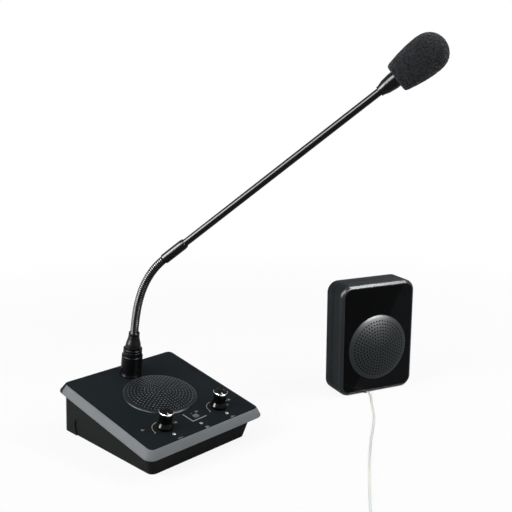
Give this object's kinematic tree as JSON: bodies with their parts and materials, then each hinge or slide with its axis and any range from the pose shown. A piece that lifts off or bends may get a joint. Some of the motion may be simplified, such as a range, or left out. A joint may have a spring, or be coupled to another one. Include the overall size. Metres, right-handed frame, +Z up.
{
  "type": "teller window intercom",
  "caption": "Counter intercom: sloped desk unit with speaker, volume knobs and plug-in gooseneck microphone, and an outside window unit with speaker, microphone hole and lead.",
  "frame": {"origin": "middle of the bottom of the box round both units, on the table they stand on, lead left out", "axes": "+X to the right and +Y to the back of the desk unit, +Z up"},
  "size_m": [0.3666, 0.3997, 0.3799],
  "materials": {
    "case_plastic": "fine-grained moulded plastic",
    "trim_metal": "satin silver-grey coating",
    "panel_coating": "satin dark grey coating with light print",
    "steel": "zinc-plated",
    "foot_rubber": "matt",
    "grille_coating": "pierced sheet, satin dark grey",
    "speaker_steel": "pressed sheet",
    "speaker_cone": "coated paper",
    "magnet": "ferrite",
    "board": "green solder mask",
    "control_metal": "turned",
    "knob_plastic": "polished black",
    "knob_ring": "polished",
    "button_plastic": "light grey, fine grain",
    "switch_plastic": "black nylon",
    "lamp_lens": "diffusing lens",
    "collar_metal": "black plated",
    "contacts": "gold-plated",
    "gooseneck_metal": "black wound steel",
    "boom_coating": "satin black",
    "capsule_metal": "pressed can",
    "foam": "open-cell foam",
    "window_shell": "metallic grey-green, satin",
    "window_gloss": "mirror black with a lighter diagonal field",
    "window_grille_coating": "pierced sheet, satin grey",
    "adhesive_foam": "double-sided foam tape",
    "lead_vinyl": "clear vinyl with grey conductors",
    "jack_metal": "nickel-plated with black sleeve"
  },
  "bodies": {
    "base": {"lower_case": "case_plastic", "trim_frame": "trim_metal", "top_plate": "panel_coating", "ballast_plate": "steel", "rubber_feet": "foot_rubber", "case_screws": "steel", "desk_grille": "grille_coating", "desk_speaker_frame": "speaker_steel", "desk_speaker_cone": "speaker_cone", "desk_speaker_magnet": "magnet", "circuit_board": "board", "board_screws": "steel", "volume_pots": "control_metal", "pot_nuts": "steel", "button_switch": "switch_plastic", "led_lenses": "lamp_lens", "socket_collar": "collar_metal", "socket_insert": "switch_plastic", "socket_nut": "steel", "rear_sockets": "switch_plastic", "switch_frame": "switch_plastic", "window_bezel": "window_shell", "window_panel": "window_gloss", "window_grille": "window_grille_coating", "window_back_cover": "window_shell", "window_speaker_frame": "speaker_steel", "window_speaker_cone": "speaker_cone", "window_speaker_magnet": "magnet", "window_microphone": "capsule_metal", "window_screws": "steel", "adhesive_pads": "adhesive_foam", "cord_grommet": "foot_rubber", "cord_tube": "lead_vinyl", "cord_coil": "lead_vinyl", "cord_plug": "jack_metal"},
    "left_volume_knob": {"left_knob": "knob_plastic", "left_knob_ring": "knob_ring", "left_knob_shaft": "control_metal"},
    "right_volume_knob": {"right_knob": "knob_plastic", "right_knob_ring": "knob_ring", "right_knob_shaft": "control_metal"},
    "mode_key": {"mode_button": "button_plastic"},
    "rocker": {"power_rocker": "switch_plastic"},
    "plug": {"plug_shell": "collar_metal", "plug_pins": "contacts", "plug_boot": "collar_metal", "neck_collar": "collar_metal", "gooseneck_root": "gooseneck_metal"},
    "link_1": {"gooseneck_link_1": "gooseneck_metal"},
    "link_2": {"gooseneck_link_2": "gooseneck_metal"},
    "link_3": {"gooseneck_link_3": "gooseneck_metal"},
    "link_4": {"gooseneck_link_4": "gooseneck_metal"},
    "link_5": {"gooseneck_link_5": "gooseneck_metal"},
    "link_6": {"gooseneck_link_6": "gooseneck_metal"},
    "boom": {"gooseneck_end": "gooseneck_metal", "ferrule": "boom_coating", "boom_tube": "boom_coating", "mic_housing": "boom_coating", "mic_capsule": "capsule_metal", "foam_windscreen": "foam"}
  },
  "joints": [
    {"name": "left_volume_turn", "type": "hinge", "parent": "base", "child": "left_volume_knob", "pos_m": [-0.14525, 0.01356, 0.04232], "axis": [0, -0.184, 0.9829], "range_deg": [-300, 0]},
    {"name": "right_volume_turn", "type": "hinge", "parent": "base", "child": "right_volume_knob", "pos_m": [-0.07945, 0.01356, 0.04232], "axis": [0, -0.184, 0.9829], "range_deg": [-300, 0]},
    {"name": "mode_key_press", "type": "slide", "parent": "base", "child": "mode_key", "axis": [0, 0.184, -0.9829], "range_m": [0, 0.0009], "stiffness_N_per_m": 900, "springref_m": -0.0002},
    {"name": "power_rock", "type": "hinge", "parent": "base", "child": "rocker", "pos_m": [-0.06635, 0.13352, 0.02552], "axis": [1, 0, 0], "range_deg": [0, 18]},
    {"name": "microphone_unplug", "type": "slide", "parent": "base", "child": "plug", "axis": [0, -0.184, 0.9829], "range_m": [0, 0.018]},
    {"name": "gooseneck_bend_1", "type": "hinge", "parent": "plug", "child": "link_1", "pos_m": [-0.11235, 0.0995, 0.10383], "axis": [0.8192, 0.5736, 0], "range_deg": [-12, 10]},
    {"name": "gooseneck_sway_1", "type": "hinge", "parent": "link_1", "child": "link_2", "pos_m": [-0.11216, 0.09703, 0.11588], "axis": [0.5618, -0.8023, -0.2016], "range_deg": [-12, 12]},
    {"name": "gooseneck_bend_2", "type": "hinge", "parent": "link_2", "child": "link_3", "pos_m": [-0.11152, 0.09406, 0.1278], "axis": [0.8192, 0.5736, 0], "range_deg": [-12, 10]},
    {"name": "gooseneck_sway_2", "type": "hinge", "parent": "link_3", "child": "link_4", "pos_m": [-0.11021, 0.09033, 0.13945], "axis": [0.5345, -0.7634, -0.3628], "range_deg": [-12, 12]},
    {"name": "gooseneck_bend_3", "type": "hinge", "parent": "link_4", "child": "link_5", "pos_m": [-0.10801, 0.08568, 0.15061], "axis": [0.8192, 0.5736, 0], "range_deg": [-12, 10]},
    {"name": "gooseneck_sway_3", "type": "hinge", "parent": "link_5", "child": "link_6", "pos_m": [-0.10478, 0.07995, 0.16101], "axis": [0.4598, -0.6566, -0.5978], "range_deg": [-12, 12]},
    {"name": "gooseneck_bend_4", "type": "hinge", "parent": "link_6", "child": "boom", "pos_m": [-0.10041, 0.07311, 0.17026], "axis": [0.8192, 0.5736, 0], "range_deg": [-12, 10]}
  ]
}
